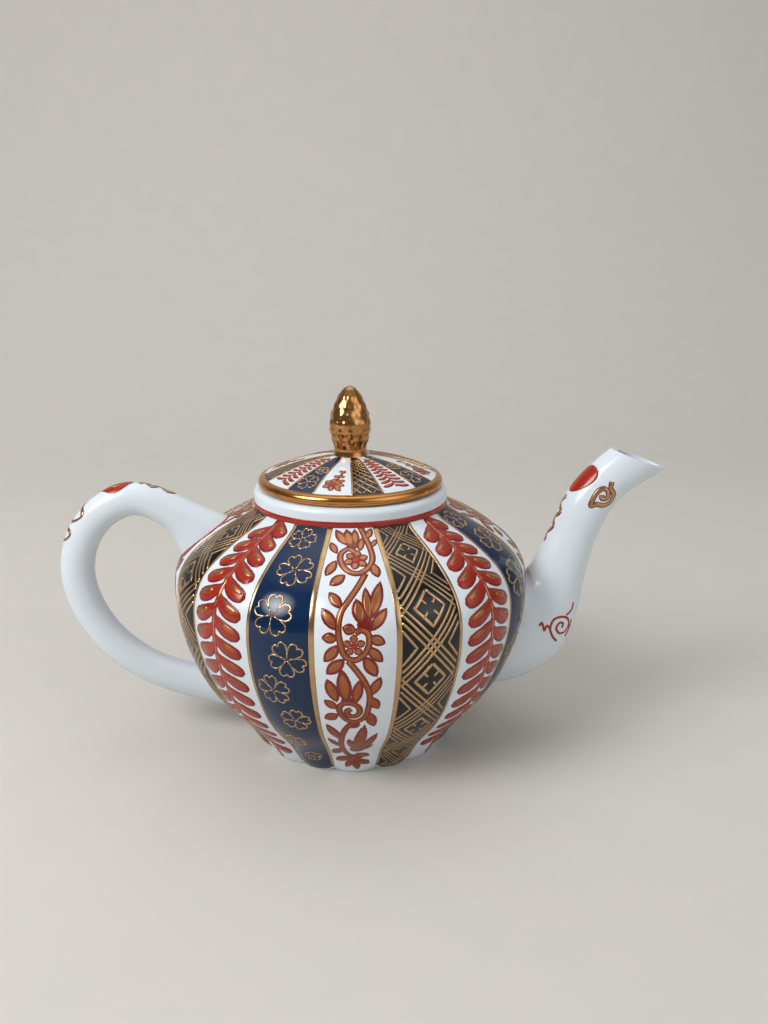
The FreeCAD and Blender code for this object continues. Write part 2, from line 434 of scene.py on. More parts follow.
# Brushwork: the share of a stroke that is flat on top; a fill's rings, as shares of its outline and height,
# with more of them across a ridge; and how deep the middle of its foot lies.
STROKE_TOP = 0.7
FILL_RINGS = ((0.3, 1.0), (0.6, 1.0), (0.85, 0.9), (1.0, -0.4))
RIDGE_RINGS = tuple((k / 12, 1.0) for k in range(1, 12)) + ((1.0, -0.4),)
FILL_FOOT = 4 * SUNK
# Shares of a leaf's length and width, of a stem's width and of a scroll's width that are gilt inside the red.
LEAF_GILT = (0.76, 0.62)
STEM_GILT = 0.5
SCROLL_GILT = 0.62


class Paint:
    """Strokes and fills of one finish, each a thin closed form that stands on the glaze."""

    def __init__(self):
        self.verts, self.faces = [], []

    def stroke(self, skin, points, widths, height, closed=False):
        """Flat-topped line through points; widths in millimetres, one for all or one to a point."""
        count = len(points)
        if not isinstance(widths, list):
            widths = [widths] * count
        start = len(self.verts)
        for i, (x, y) in enumerate(points):
            before = points[i - 1] if i or closed else points[0]
            after = points[(i + 1) % count] if i < count - 1 or closed else points[-1]
            scale = skin.per_mm(x, y)
            # Round the pot, the short way.
            dx, dy = ((after[0] - before[0] + 180) % 360 - 180) / scale, after[1] - before[1]
            run = math.hypot(dx, dy) or 1.0
            nx, ny = -dy / run * widths[i] / 2 * scale, dx / run * widths[i] / 2
            for share, lift in ((1.0, SUNK), (STROKE_TOP, height), (-STROKE_TOP, height), (-1.0, SUNK)):
                self.verts.append(skin.at(x + nx * share, y + ny * share, lift))
        for i in range(count if closed else count - 1):
            a, b = start + 4 * i, start + 4 * ((i + 1) % count)
            self.faces += [(a + k, a + (k + 1) % 4, b + (k + 1) % 4, b + k) for k in range(4)]
        if not closed:
            end = start + 4 * (count - 1)
            self.faces += [(start + 3, start + 2, start + 1, start), (end, end + 1, end + 2, end + 3)]

    def fill(self, skin, centre, outline, height, steps=FILL_RINGS):
        """Low cushion inside an outline given in millimetres from its centre."""
        sides = len(outline)
        start = len(self.verts)
        self.verts.append(skin.at(*centre, height))
        for share, lift in steps:
            spots = [shift(skin, centre, x * share, y * share) for x, y in outline]
            self.verts += [skin.at(*spot, lift * height) for spot in spots]
        self.verts.append(skin.at(*centre, FILL_FOOT))
        foot = len(self.verts) - 1
        for i in range(sides):
            j = (i + 1) % sides
            rings = [(start + 1 + k * sides + i, start + 1 + k * sides + j) for k in range(len(steps))]
            self.faces.append((start, rings[0][0], rings[0][1]))
            self.faces += [(a[0], b[0], b[1], a[1]) for a, b in zip(rings, rings[1:])]
            self.faces.append((rings[-1][1], rings[-1][0], foot))

    def mesh(self, name):
        """Smooth mesh of all strokes and fills, with its faces outwards."""
        made = bpy.data.meshes.new(name)
        made.from_pydata(self.verts, [], self.faces)
        shell = bmesh.new()
        shell.from_mesh(made)
        bmesh.ops.recalc_face_normals(shell, faces=shell.faces)
        shell.to_mesh(made)
        shell.free()
        made.polygons.foreach_set("use_smooth", [True] * len(made.polygons))
        return made


class Palette:
    """One sheet of paint for each finish of a motif."""

    def __init__(self):
        self.rust, self.red, self.gold, self.copper = Paint(), Paint(), Paint(), Paint()

    def leaf(self, skin, base, tip, width):
        """Pointed leaf: rust-red outline, gilt-washed inside."""
        middle = ((base[0] + tip[0]) / 2, (base[1] + tip[1]) / 2)
        across, up = (tip[0] - base[0]) / skin.per_mm(*middle), tip[1] - base[1]
        length, angle = math.hypot(across, up), math.atan2(up, across)
        self.rust.fill(skin, middle, leaf_outline(length, width, angle), ENAMEL)
        inside = leaf_outline(length * LEAF_GILT[0], width * LEAF_GILT[1], angle)
        self.copper.fill(skin, middle, inside, GILDING)

    def stem(self, skin, points, width):
        """Curved stem: red edges, gilt-washed along the middle."""
        line = smooth(points)
        self.rust.stroke(skin, line, width, ENAMEL)
        self.copper.stroke(skin, line[1:-1], width * STEM_GILT, GILDING)

    def scroll(self, skin, points, width):
        """Gilt scroll with a thin rust-red edge."""
        line = smooth(points)
        self.rust.stroke(skin, line, width, ENAMEL)
        self.gold.stroke(skin, line[1:-1], width * SCROLL_GILT, GILDING)


def smooth(points, parts=6):
    """Curve through points, as a Catmull-Rom spline."""
    out = []
    for i in range(len(points) - 1):
        corners = (points[max(i - 1, 0)], points[i], points[i + 1], points[min(i + 2, len(points) - 1)])
        for k in range(parts):
            s = k / parts
            pull = (-s + 2 * s ** 2 - s ** 3, 2 - 5 * s ** 2 + 3 * s ** 3, s + 4 * s ** 2 - 3 * s ** 3,
                    s ** 3 - s ** 2)
            out.append(tuple(sum(p * c[axis] for p, c in zip(pull, corners)) / 2 for axis in (0, 1)))
    return out + [points[-1]]


def leaf_outline(length, width, angle, sides=8, blunt=0.75):
    """Leaf pointed at both ends, round its middle."""
    c, s = math.cos(angle), math.sin(angle)
    rows = []
    for side in (1, -1):
        for k in range(sides):
            along = k / sides if side == 1 else 1 - k / sides
            x, y = (along - 0.5) * length, side * width / 2 * math.sin(math.pi * along) ** blunt
            rows.append((x * c - y * s, x * s + y * c))
    return rows


def round_outline(radius, sides=14):
    """Circle round its middle."""
    turns = [2 * math.pi * k / sides for k in range(sides)]
    return [(radius * math.cos(a), radius * math.sin(a)) for a in turns]


def runs(points, inside):
    """Stretches of a line that lie inside a panel."""
    run = []
    for point in points:
        if inside(point):
            run.append(point)
        else:
            if len(run) > 1:
                yield run
            run = []
    if len(run) > 1:
        yield run


# Floral panel: stems, then leaves by base, tip and width. Places are degrees from its middle and millimetres
# up from the foot.
STEMS = [
    [(3.9, 79.4), (5.4, 77.2), (7.1, 73.2), (7.4, 69.5), (5.2, 66.8), (1.4, 65.3), (-2.1, 66.0), (-4.8, 68.3),
     (-5.2, 71.0), (-2.2, 72.6), (0.6, 71.5), (1.2, 70.2)],
    [(3.9, 65.2), (1.2, 62.0), (-2.0, 58.5), (-4.1, 55.9), (-4.8, 52.7), (-4.3, 49.4), (-3.0, 46.3),
     (-0.2, 45.3), (2.3, 46.6), (3.7, 48.9), (3.5, 51.1), (1.7, 52.1), (-0.2, 51.4)],
    [(-2.1, 45.1), (0.2, 42.6), (2.3, 39.8), (3.9, 36.5), (4.0, 32.9), (2.9, 29.0), (0.2, 27.4), (-3.0, 28.0),
     (-5.0, 30.6), (-4.6, 32.8), (-2.3, 33.6), (0.4, 32.6), (1.2, 30.8), (0.0, 29.3), (-2.0, 29.4),
     (-2.8, 30.9), (-1.4, 31.6)],
    [(-0.3, 27.1), (-3.1, 24.9), (-5.1, 20.3), (-5.5, 13.8), (-3.3, 9.4)],
]
LEAVES = [
    ((-2.4, 73.9), (-8.9, 78.3), 2.0), ((-0.9, 73.6), (-3.4, 80.3), 2.3), ((1.1, 74.2), (0.9, 80.4), 1.7),
    ((6.6, 76.0), (9.9, 80.2), 1.5), ((8.1, 73.1), (10.9, 75.3), 1.2), ((-7.1, 71.3), (-10.5, 74.6), 1.6),
    ((-7.0, 68.8), (-9.9, 64.7), 2.1), ((-3.5, 64.8), (-8.0, 62.2), 2.3), ((7.0, 67.9), (8.2, 64.1), 2.1),
    ((2.6, 72.0), (4.4, 76.0), 1.4), ((-4.2, 57.0), (-7.9, 60.4), 2.2), ((-5.5, 52.3), (-9.7, 56.6), 2.4),
    ((1.8, 53.5), (0.3, 58.8), 2.7), ((3.9, 54.0), (3.3, 61.5), 2.1), ((4.6, 54.7), (8.5, 62.8), 2.5),
    ((4.5, 52.0), (9.2, 56.4), 2.2), ((-5.2, 50.3), (-9.4, 50.3), 2.2), ((-4.8, 48.6), (-8.8, 44.7), 2.3),
    ((-3.5, 45.3), (-8.2, 41.6), 2.6), ((4.0, 50.4), (8.2, 48.8), 2.2), ((3.5, 48.1), (7.5, 44.5), 2.2),
    ((2.5, 45.8), (5.9, 40.9), 2.6), ((-0.1, 51.9), (-3.6, 52.7), 2.2),
    ((-5.8, 34.1), (-8.2, 40.1), 2.6), ((-2.8, 34.1), (-4.0, 42.8), 2.9),
    ((-0.3, 33.6), (1.2, 40.2), 2.2), ((4.6, 35.9), (7.0, 40.5), 2.2), ((4.4, 34.9), (7.0, 31.2), 2.1),
    ((3.9, 30.1), (6.1, 25.0), 2.2), ((-5.9, 31.7), (-9.5, 34.0), 2.1), ((-5.8, 29.7), (-10.0, 27.6), 2.2),
    ((-5.8, 19.8), (-9.7, 25.5), 2.2), ((-6.4, 14.9), (-10.3, 19.0), 1.7), ((0.4, 13.9), (2.8, 25.6), 2.5),
    ((2.0, 12.5), (7.4, 21.5), 2.2), ((-5.9, 13.2), (-10.4, 9.1), 2.0), ((-3.0, 8.5), (-9.6, 5.3), 2.0),
    ((0.6, 10.4), (6.5, 8.1), 2.0), ((0.7, 7.1), (7.4, 3.7), 2.0), ((-1.0, 7.2), (-4.7, 2.8), 1.8),
    ((-0.2, 6.7), (1.3, 1.7), 1.8), ((-0.2, 13.6), (-2.6, 19.6), 1.9), ((1.6, 12.6), (7.0, 15.4), 1.7),
]
# Flowers inside the scrolls: place, radius, petals and turn. Cups that leaves spring from: place and radius.
ROSETTES = [(0.9, 69.2, 3.0, 6, 80), (-0.5, 48.6, 2.7, 5, 90), (-1.0, 8.0, 2.6, 6, 60)]
CUPS = [(-0.4, 73.9, 1.5), (2.7, 53.2, 1.9), (-2.6, 34.1, 1.5), (0.6, 13.2, 1.9), (-0.8, 26.2, 1.6)]
# A stem's width in millimetres, shares by which a leaf runs past its base and tip, and how much fatter it is.
STEM_WIDE = 1.7
LEAF_REACH = (0.12, 0.08)
LEAF_FAT = 1.25
# A rosette's petals and red eye, as shares of its radius.
PETAL_START = 0.15
PETAL_WIDE = 0.72
EYE_WIDE = 0.3

# Blossom panel: degrees from its middle, millimetres up from the foot, radius and turn.
BLOSSOMS = [
    (-2.0, 75.0, 3.2, 10), (1.2, 65.6, 4.2, 40), (-2.0, 54.2, 4.6, 15), (3.0, 44.4, 4.3, 50),
    (-2.6, 35.6, 4.0, 25), (2.4, 26.4, 3.5, 5), (-2.2, 15.8, 2.8, 35), (1.8, 7.2, 2.1, 20),
]
# A blossom's line in millimetres, and the radius below which it is drawn finer.
BLOSSOM_LINE = 0.42
BLOSSOM_FULL = 3.4
# One petal of a blossom, by shares of the petal's angle and the blossom's radius, and the spoke between two.
PETALS = 5
PETAL = ((-0.5, 0.42), (-0.42, 0.80), (-0.24, 1.0), (-0.08, 0.98), (0.0, 0.84), (0.08, 0.98), (0.24, 1.0),
         (0.42, 0.80))
SPOKE = (0.06, 0.25, 0.42)
SPOKE_LINE = 0.85


def paint_rosette(p, skin, place, radius, petals, turn):
    """Flower of pointed petals round a red eye."""
    for k in range(petals):
        a = math.radians(turn + 360 * k / petals)
        ends = [away(skin, place, radius * share, a) for share in (PETAL_START, 1.0)]
        p.leaf(skin, *ends, radius * PETAL_WIDE)
    p.red.fill(skin, place, round_outline(radius * EYE_WIDE), EYE_HIGH)


def paint_floral(p, skin):
    """Scrolling stems with leaves and flowers."""
    for line in STEMS:
        p.stem(skin, [(FLORAL_AT + x, y) for x, y in line], STEM_WIDE)
    for x, y, radius in CUPS:
        p.rust.fill(skin, (FLORAL_AT + x, y), round_outline(radius), ENAMEL)
    for (x0, y0), (x1, y1), width in LEAVES:
        back, on = LEAF_REACH
        base = (FLORAL_AT + x0 - (x1 - x0) * back, y0 - (y1 - y0) * back)
        tip = (FLORAL_AT + x1 + (x1 - x0) * on, min(y1 + (y1 - y0) * on, PANEL_TOP))
        p.leaf(skin, base, tip, width * LEAF_FAT)
    for x, y, radius, petals, turn in ROSETTES:
        paint_rosette(p, skin, (FLORAL_AT + x, y), radius, petals, turn)


def paint_blossom(p, skin, place, radius, turn, width):
    """Five notched petals in gilt outline, with a short spoke between each two."""
    step = 360 / PETALS
    line = []
    for petal in range(PETALS):
        for share, reach in PETAL:
            line.append(away(skin, place, radius * reach, math.radians(turn + step * (petal + share))))
    p.gold.stroke(skin, smooth(line + [line[0]], parts=2)[:-1], width, GILDING, closed=True)
    for petal in range(PETALS):
        between = math.radians(turn + step * (petal + 0.5))
        spoke = [away(skin, place, radius * reach, between) for reach in SPOKE]
        p.gold.stroke(skin, spoke, width * SPOKE_LINE, GILDING)


def paint_blossoms(p, skin):
    """Blossoms strewn up the cobalt panel."""
    for x, y, radius, turn in BLOSSOMS:
        width = BLOSSOM_LINE * min(1.0, radius / BLOSSOM_FULL)
        paint_blossom(p, skin, (BLOSSOM_AT + x, y), radius, turn, width)


# Lattice, in half-widths of its panel: the step and the line, how far a line climbs over half the panel, the
# spacing of the crossings and where they start, the lines of a band, and its reach to the sides and down.
LATTICE_STEP = 0.02
LATTICE_LINE = 0.084
LATTICE_RISE = 1.13
LATTICE_PERIOD = 2.26
LATTICE_PHASE = 0.6
BAND = (-0.24, 0.0, 0.24)
LATTICE_SIDE = 0.93
LATTICE_FOOT = 0.15
# The frame in each diamond, its line and the shares of it that a notch spans, and the lid's finer net.
FRAME_TALL = 0.56
FRAME_WIDE = 0.5
FRAME_LINE = LATTICE_LINE * 1.3
NOTCH = (0.5, 0.2)
LID_NET = 0.8


def lattice_heights():
    """Heights one step of a half-width apart, so that the lattice keeps its shape as the panel narrows."""
    heights, height = [], 0.0
    while height < PANEL_TOP:
        heights.append(height)
        height += math.radians(DARK_HALF) * crest_at(height)[1] * LATTICE_STEP
    return heights


HEIGHTS = lattice_heights()


def body_climb(rise):
    """Height up the body of a place that lies some half-widths up the panel."""
    i = min(max(rise / LATTICE_STEP, 0.0), len(HEIGHTS) - 1.001)
    low = int(i)
    return HEIGHTS[low] + (HEIGHTS[low + 1] - HEIGHTS[low]) * (i - low)


def lid_climb(rise):
    """Radius on the lid of a place that lies some half-widths in from its rim."""
    return LID_OUT * math.exp(-math.radians(DARK_HALF) * rise)


def paint_lattice(p, skin, at, climb, top, period, band, framed):
    """Gilt bands cross over the dark ground; framed diamonds between them have a notch in each side."""
    def inside(spot):
        return abs(spot[0]) <= LATTICE_SIDE and LATTICE_FOOT < spot[1] < top

    def line(corners, parts, share=LATTICE_LINE):
        spots = []
        for (u0, v0), (u1, v1) in zip(corners, corners[1:]):
            spots += [(u0 + (u1 - u0) * k / parts, v0 + (v1 - v0) * k / parts) for k in range(parts)]
        for run in runs(spots + [corners[-1]], inside):
            places = [(at + u * DARK_HALF, climb(v)) for u, v in run]
            widths = [share * DARK_HALF / skin.per_mm(*place) for place in places]
            p.gold.stroke(skin, places, widths, NET_HIGH)

    first = (top - LATTICE_PHASE) % period - 2 * period
    for row in range(int(top / period) + 5):
        cross = first + row * period
        heart = cross + period / 2
        for lean in (1, -1):
            for off in band:
                line([(-lean, cross - LATTICE_RISE + off), (lean, cross + LATTICE_RISE + off)], parts=40)
        if not framed:
            continue
        line([(0, heart + FRAME_TALL), (FRAME_WIDE, heart), (0, heart - FRAME_TALL), (-FRAME_WIDE, heart),
              (0, heart + FRAME_TALL)], parts=6, share=FRAME_LINE)
        for side in (-1, 1):
            for end in (-1, 1):
                line([(side * FRAME_WIDE * k, heart + end * FRAME_TALL * k) for k in NOTCH], parts=3)
            line([(side * LATTICE_SIDE, cross + FRAME_TALL), (side * (1 - FRAME_WIDE), cross),
                  (side * LATTICE_SIDE, cross - FRAME_TALL)], parts=8)


# Fern: widths of its stem, vein and leaves in millimetres, how much fatter leaves are from the middle up, a
# leaf's reach as a share of the half panel, and the share of its width inside the outline.
FERN_STEM = 1.7
FERN_VEIN = 0.5
FERN_FAT = 3.7
FERN_SWELL = 0.7
FERN_REACH = 0.80
FERN_INSIDE = 0.78
# Shares of the panel's height from which fern leaves have their full width, and hang lower as it narrows.
FULL_FROM = 0.45
HANG_FROM = 0.55
# Shares of the pitch: how far up it the leaves of each side start, the bare foot of the stem, how far a leaf
# drops, and how much more where it hangs lower.
FERN_SIDES = ((-1, 0.75), (1, 0.25))
FERN_BARE = 1.2
FERN_DROP = 0.5
FERN_HANG = 0.45
# Along a fern leaf: where it is fattest, and the widths of its stalk and its very end.
FATTEST = 0.7
STALK = 0.3
LEAF_END = 0.12
# The dab of gilt on a fern leaf: its widths along it, where it starts, and its width and place across.
DAB = (0.4, 0.8, 1.0, 1.0, 0.8, 0.4)
DAB_START = 8
DAB_WIDE = 0.34
DAB_OFF = 0.16


def paint_fern(p, skin, at, low, high, pitch, down, out_of_red_reflection):
    """Drooping frond: a red stem with a gilt vein, and fat red leaves with a round end and a dab of gilt."""
    end = high - pitch * (down > 0)
    stem = [(at, y) for y in evenly(low, end, parts=40)]
    p.red.stroke(skin, stem, FERN_STEM * out_of_red_reflection, ENAMEL)
    p.gold.stroke(skin, stem, FERN_VEIN * out_of_red_reflection, GILDING)
    for k in range(int((high - low) / pitch) + 1):
        for side, stagger in FERN_SIDES:
            top = low + pitch * (k + stagger)
            if not low + FERN_BARE * pitch * (down < 0) < top < end:
                continue
            share = top / LENGTH
            reach = FERN_REACH * WHITE_HALF / skin.per_mm(at, top)
            drop = pitch * (FERN_DROP + FERN_HANG * max(0.0, share - HANG_FROM))
            # From the stem, over its edge, out and down.
            path = [(0.2, -0.34 * pitch), (0.16 * reach, -0.04 * pitch), (0.52 * reach, 0.6 * drop),
                    (reach, drop)]
            line = smooth([shift(skin, (at, top), side * x, down * y) for x, y in path], parts=5)
            fat = out_of_red_reflection * (FERN_FAT + FERN_SWELL * min(1.0, share / FULL_FROM))
            widths = [fat * fern_width(i / (len(line) - 1)) for i in range(len(line))]
            p.rust.stroke(skin, line, widths, ENAMEL)
            p.red.stroke(skin, line[:-1], [w * FERN_INSIDE for w in widths[:-1]], FERN_HIGH)
            spots = line[DAB_START:DAB_START + len(DAB)]
            dab = [shift(skin, spot, 0.0, -down * DAB_OFF * fat) for spot in spots]
            p.copper.stroke(skin, dab, [DAB_WIDE * fat * s for s in DAB], DAB_HIGH)


def fern_width(share):
    """Share of a fern leaf's width along it: a thin stalk, then fat, then a round end."""
    if share < FATTEST:
        return STALK + (1 - STALK) * math.sin(math.pi / 2 * share / FATTEST) ** 1.4
    return max(LEAF_END, math.sqrt(max(0.0, 1.0 - ((share - FATTEST) / (1 - FATTEST)) ** 2)))


def paint_borders(p, skin, parts=70, start=0.9, short=0.8, full=40):
    """Gilt lines along the panels' edges, at their full width from some height up and finer below it."""
    heights = [start + (PANEL_TOP - short) * k / parts for k in range(parts + 1)]
    for at, width in zip(PANEL_EDGES, EDGE_LINES):
        widths = [width * (0.5 + 0.5 * min(1.0, y / full)) for y in heights]
        p.gold.stroke(skin, [(at, y) for y in heights], widths, GILDING)


def round_tree():
    """Nodes that set a motif round the pot's axis some number of times, in one finish."""
    tree = bpy.data.node_groups.new("motif_round_the_pot", "GeometryNodeTree")
    inputs = (("Motif", "NodeSocketGeometry"), ("Count", "NodeSocketInt"), ("Finish", "NodeSocketMaterial"))
    for name, kind in inputs:
        tree.interface.new_socket(name, in_out="INPUT", socket_type=kind)
    tree.interface.new_socket("Motifs", in_out="OUTPUT", socket_type="NodeSocketGeometry")
    source = add(tree, "NodeGroupInput")
    row = add(tree, "GeometryNodeMeshLine", Count=source.outputs["Count"], Offset=(0.0, 0.0, 0.0))
    step = calc(tree, "DIVIDE", 2 * math.pi, source.outputs["Count"])
    number = add(tree, "GeometryNodeInputIndex")
    turn = calc(tree, "MULTIPLY", number, step)
    angles = add(tree, "ShaderNodeCombineXYZ", Z=turn)
    spread = add(tree, "GeometryNodeInstanceOnPoints", Points=row, Instance=source.outputs["Motif"],
                 Rotation=angles)
    real = add(tree, "GeometryNodeRealizeInstances", Geometry=spread)
    finish = add(tree, "GeometryNodeSetMaterial", Geometry=real, Material=source.outputs["Finish"])
    add(tree, "NodeGroupOutput", Motifs=finish)
    return tree


ROUND = round_tree()


def set_round(made, count, material):
    """Puts a motif's mesh round the pot's axis, as one plain mesh."""
    change = made.modifiers.new("round", "NODES")
    change.node_group = ROUND
    sockets = {s.name: s.identifier for s in ROUND.interface.items_tree if s.in_out == "INPUT"}
    change[sockets["Count"]] = count
    change[sockets["Finish"]] = material
    ready = made.evaluated_get(bpy.context.evaluated_depsgraph_get())
    whole = bpy.data.meshes.new_from_object(ready)
    made.modifiers.remove(change)
    made.data = whole


def clear_hidden(mesh):
    """Takes away the strokes that would lie inside the roots of the spout and the handle."""
    shell = bmesh.new()
    shell.from_mesh(mesh)
    left = set(shell.verts)
    hidden = []
    while left:
        island, edge = set(), [left.pop()]
        while edge:
            vert = edge.pop()
            island.add(vert)
            near = {e.other_vert(vert) for e in vert.link_edges} & left
            left -= near
            edge += near
        if all(covered(v.co, SPOUT_TREE) or covered(v.co, HANDLE_TREE) for v in island):
            hidden += island
    bmesh.ops.delete(shell, geom=hidden, context="VERTS")
    shell.to_mesh(mesh)
    shell.free()


def lay(name, palette, body, count=1):
    """Makes a piece of each finish in a palette that rides on a body; count sets it round the axis."""
    for finish, material in FINISHES.items():
        paint = getattr(palette, finish)
        if not paint.faces:
            continue
        made = put(name + "_" + finish, paint.mesh(name + "_" + finish))
        if count > 1:
            set_round(made, count, material)
        else:
            made.data.materials.append(material)
        if body == "pot" and count > 1:
            clear_hidden(made.data)
        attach(made, body)


# Painted body
body_skin = BodySkin()
floral, lattice, fern, blossoms, borders = Palette(), Palette(), Palette(), Palette(), Palette()
paint_floral(floral, body_skin)
body_rise = (len(HEIGHTS) - 2) * LATTICE_STEP
paint_lattice(lattice, body_skin, LATTICE_AT, body_climb, body_rise, LATTICE_PERIOD, BAND, framed=True)
paint_fern(fern, body_skin, FERN_AT, low=1.5, high=PANEL_TOP, pitch=4.7, down=-1, out_of_red_reflection=1.0)
paint_blossoms(blossoms, body_skin)
paint_borders(borders, body_skin)
for name, palette in (("floral", floral), ("lattice", lattice), ("fern", fern), ("blossom", blossoms),
                      ("border", borders)):
    lay("body_" + name, palette, "pot", REPEATS)


def joint_line(skin, tree, middle, reach, rays=60, halvings=12):
    """Closed line on the body round the root of a luted piece, felt outwards from a place under it."""
    line = []
    for k in range(rays):
        a = 2 * math.pi * k / rays
        near, far = 0.0, reach
        for _ in range(halvings):
            half = (near + far) / 2
            spot = away(skin, middle, half, a)
            near, far = (half, far) if covered(skin.at(*spot, 0.0), tree) else (near, half)
        line.append(away(skin, middle, far, a))
    return line


# Red lines round the neck and the handle's upper root: a place under the root, and its line in millimetres.
HANDLE_ROOT = (-90.0, 62.0)
ROOT_LINE = 2.0
lines = Palette()
neck = [(x, LENGTH - NECK_LINE / 2) for x in range(0, 360, 3)]
lines.red.stroke(body_skin, neck, NECK_LINE, NECK_HIGH, closed=True)
root = joint_line(body_skin, HANDLE_TREE, HANDLE_ROOT, reach=16.0)
lines.red.stroke(body_skin, root, ROOT_LINE, ROOT_HIGH, closed=True)
lay("body_line", lines, "pot")


# Painted lid: the same four panels, drawn smaller. Places are degrees from the middle of a panel and
# millimetres from the axis.
LID_STEM = [(-2.0, 17.4), (1.0, 16.4), (0.4, 14.8), (2.6, 13.4), (3.6, 12.0)]
LID_LEAVES = [
    ((2.6, 13.4), (5.6, 11.6), 1.2), ((2.8, 12.8), (-0.6, 11.6), 1.1), ((1.0, 14.8), (6.6, 14.2), 1.3),
    ((0.6, 15.0), (-4.4, 14.0), 1.3), ((0.8, 16.4), (7.6, 16.2), 1.4), ((0.6, 17.4), (7.4, 18.2), 1.4),
    ((0.0, 18.2), (5.0, 20.2), 1.4),
]
LID_ROSETTE = (-2.4, 17.7)
LID_BLOSSOMS = [(-0.6, 17.6, 2.6, 30), (1.6, 12.4, 1.6, 10)]
# Widths on the lid: the lines between panels, the stem and the blossoms' lines. Millimetres.
LID_EDGE = 0.5
LID_STEM_WIDE = 0.8
LID_BLOSSOM_LINE = 0.36
lid_skin = LidSkin()
lid = Palette()
for at in PANEL_EDGES:
    edge = [(LID_TURN + at, y) for y in evenly(LID_IN, LID_OUT, parts=20)]
    lid.gold.stroke(lid_skin, edge, LID_EDGE, GILDING)
lid.stem(lid_skin, [(LID_TURN + x, y) for x, y in LID_STEM], LID_STEM_WIDE)
for base, tip, width in LID_LEAVES:
    lid.leaf(lid_skin, (LID_TURN + base[0], base[1]), (LID_TURN + tip[0], tip[1]), width)
paint_rosette(lid, lid_skin, (LID_TURN + LID_ROSETTE[0], LID_ROSETTE[1]), radius=2.5, petals=6, turn=30)
for x, y, radius, turn in LID_BLOSSOMS:
    paint_blossom(lid, lid_skin, (LID_TURN + BLOSSOM_AT + x, y), radius, turn, LID_BLOSSOM_LINE)
paint_fern(lid, lid_skin, LID_TURN + FERN_AT, low=LID_IN + 1.0, high=LID_OUT - 0.2, pitch=1.42, down=1,
           out_of_red_reflection=0.3)
lid_rise = math.log(LID_OUT / (LID_IN + 0.6)) / math.radians(DARK_HALF)
paint_lattice(lid, lid_skin, LID_TURN + LATTICE_AT, lid_climb, lid_rise, LID_NET, (0.0,), framed=False)
lay("lid_panel", lid, "lid", REPEATS)


# Spout and handle: scrolls on the ridges and on each side, and their widths, in the frame's millimetres.
SPOUT_SPIRAL = [(65.2, 68.3), (65.0, 66.6), (65.9, 65.0), (65.2, 62.9), (63.3, 62.2), (61.6, 62.6),
                (60.1, 62.2), (60.6, 63.8), (61.6, 65.6), (63.2, 66.6), (64.4, 65.6), (64.2, 64.2),
                (62.9, 64.0), (62.8, 65.0)]
ROOT_SCROLLS = [
    [(53.9, 30.3), (54.2, 31.4), (53.2, 31.8), (52.3, 30.5), (53.2, 28.9), (54.8, 28.8), (55.9, 30.4),
     (55.5, 32.5), (53.6, 33.4), (51.5, 32.9), (50.6, 30.6), (51.4, 28.3), (52.7, 26.6)],
    [(47.6, 31.7), (48.3, 32.4), (49.0, 30.3), (49.6, 31.5), (50.5, 30.8)],
    [(57.0, 36.6), (56.5, 34.6), (55.0, 33.6)],
    [(56.7, 31.8), (56.2, 29.4), (55.2, 27.2)],
]
SPOUT_WAVE = [(-0.5, 63.6), (1.2, 61.4), (-1.2, 59.4), (1.2, 57.5), (-1.0, 55.5), (1.0, 53.4), (-0.4, 51.6)]
HANDLE_WAVE = [(-52.6, -0.4), (-51.0, 0.8), (-49.4, -0.8), (-47.6, 0.9), (-45.8, -0.6), (-44.0, 0.4)]
HANDLE_CURL = [(0.6, 63.0), (-2.2, 61.6), (-2.8, 60.2), (-1.6, 59.0), (1.6, 58.6), (2.6, 57.8), (1.4, 57.0),
               (-1.8, 56.8), (-2.8, 55.8), (-2.0, 54.4), (0.4, 53.6)]
SCROLL_LINE = 1.5
CURL_LINE = 0.9
ROOT_SCROLL_LINE = 0.75
# Red petals: the middle, and the radius on the spout or the length and width on the handle and of its wash.
SPOUT_PETAL = (-0.9, 68.2)
SPOUT_PETAL_R = 3.5
HANDLE_PETAL = (-58.0, 0.0)
HANDLE_PETAL_SIZE = (8.9, 5.9)
HANDLE_WASH_SIZE = (5.2, 2.6)
ridges = Palette()
spout_ridge = CastSkin(SPOUT_TREE, along=(1, 0, 0), across=(0, 1, 0), up=(0, 0, 1))
handle_top = CastSkin(HANDLE_TREE, along=(0, 0, -1), across=(1, 0, 0), up=(0, 1, 0))
handle_back = CastSkin(HANDLE_TREE, along=(1, 0, 0), across=(0, 1, 0), up=(0, 0, 1))
spout_petal = round_outline(SPOUT_PETAL_R, sides=48)
handle_petal = leaf_outline(*HANDLE_PETAL_SIZE, angle=0.0, sides=24)
handle_wash = leaf_outline(*HANDLE_WASH_SIZE, angle=0.0, sides=16)
ridges.red.fill(spout_ridge, SPOUT_PETAL, spout_petal, GILDING, RIDGE_RINGS)
ridges.red.fill(handle_top, HANDLE_PETAL, handle_petal, GILDING, RIDGE_RINGS)
ridges.copper.fill(handle_top, HANDLE_PETAL, handle_wash, OVER_PETAL, RIDGE_RINGS)
ridges.scroll(spout_ridge, SPOUT_WAVE, SCROLL_LINE)
ridges.scroll(handle_top, HANDLE_WAVE, SCROLL_LINE)
ridges.scroll(handle_back, HANDLE_CURL, CURL_LINE)
lay("ridge_scrolls", ridges, "pot")
for side, word in ((-1, "front"), (1, "back")):
    spout_side = CastSkin(SPOUT_TREE, along=(0, -side, 0), across=(1, 0, 0), up=(0, 0, 1))
    flank = Palette()
    flank.scroll(spout_side, SPOUT_SPIRAL, SCROLL_LINE)
    for line in ROOT_SCROLLS:
        flank.red.stroke(spout_side, smooth(line), ROOT_SCROLL_LINE, ENAMEL)
    lay("spout_" + word, flank, "pot")


